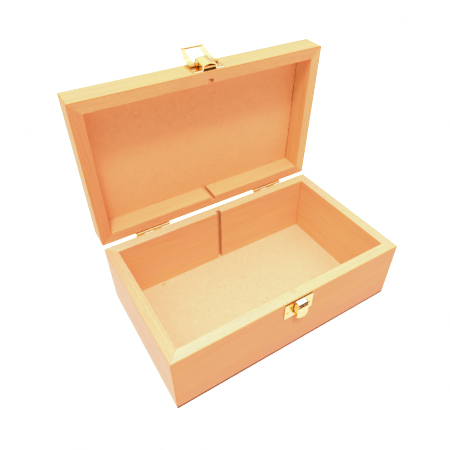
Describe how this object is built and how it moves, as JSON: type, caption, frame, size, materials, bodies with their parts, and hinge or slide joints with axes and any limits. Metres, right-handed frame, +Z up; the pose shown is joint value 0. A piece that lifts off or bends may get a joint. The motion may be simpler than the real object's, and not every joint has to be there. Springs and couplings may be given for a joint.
{
  "type": "hinged wooden box",
  "caption": "Rectangular wooden keepsake box with a hinged lid, brass hinges and a brass draw catch.",
  "frame": {"origin": "centre of the base's underside", "axes": "+X along the length, to the right as seen from the front; +Y from the front to the hinges; +Z up"},
  "size_m": [0.2, 0.1512, 0.1881],
  "materials": {
    "wall_wood": "bare sanded softwood",
    "panel_board": "bare fibreboard",
    "sheet_brass": "bright plated",
    "pin_brass": "bright plated"
  },
  "bodies": {
    "base": {"base_front_wall": "wall_wood", "base_back_wall": "wall_wood", "base_left_wall": "wall_wood", "base_right_wall": "wall_wood", "base_floor_panel": "panel_board", "left_hinge_base_leaf": "sheet_brass", "left_hinge_pin": "pin_brass", "right_hinge_base_leaf": "sheet_brass", "right_hinge_pin": "pin_brass", "hinge_base_screws": "pin_brass", "base_catch_plate": "sheet_brass", "base_catch_nails": "pin_brass", "catch_lever_pin": "pin_brass"},
    "lid": {"lid_front_wall": "wall_wood", "lid_back_wall": "wall_wood", "lid_left_wall": "wall_wood", "lid_right_wall": "wall_wood", "lid_top_panel": "panel_board", "left_hinge_lid_leaf": "sheet_brass", "right_hinge_lid_leaf": "sheet_brass", "hinge_lid_screws": "pin_brass", "lid_catch_plate": "sheet_brass", "lid_catch_nails": "pin_brass"},
    "bail": {"catch_bail": "sheet_brass"},
    "lever": {"catch_lever": "sheet_brass"}
  },
  "joints": [
    {"name": "lid_hinge", "type": "hinge", "parent": "base", "child": "lid", "pos_m": [0, 0.0616, 0.0574], "axis": [-1, 0, 0], "range_deg": [-88, 0]},
    {"name": "bail_pivot", "type": "hinge", "parent": "lid", "child": "bail", "pos_m": [0, 0.06634, 0.18234], "axis": [1, 0, 0], "range_deg": [0, 169.2]},
    {"name": "lever_pivot", "type": "hinge", "parent": "base", "child": "lever", "pos_m": [0, -0.0638, 0.0545], "axis": [-1, 0, 0], "range_deg": [0, 110]}
  ]
}
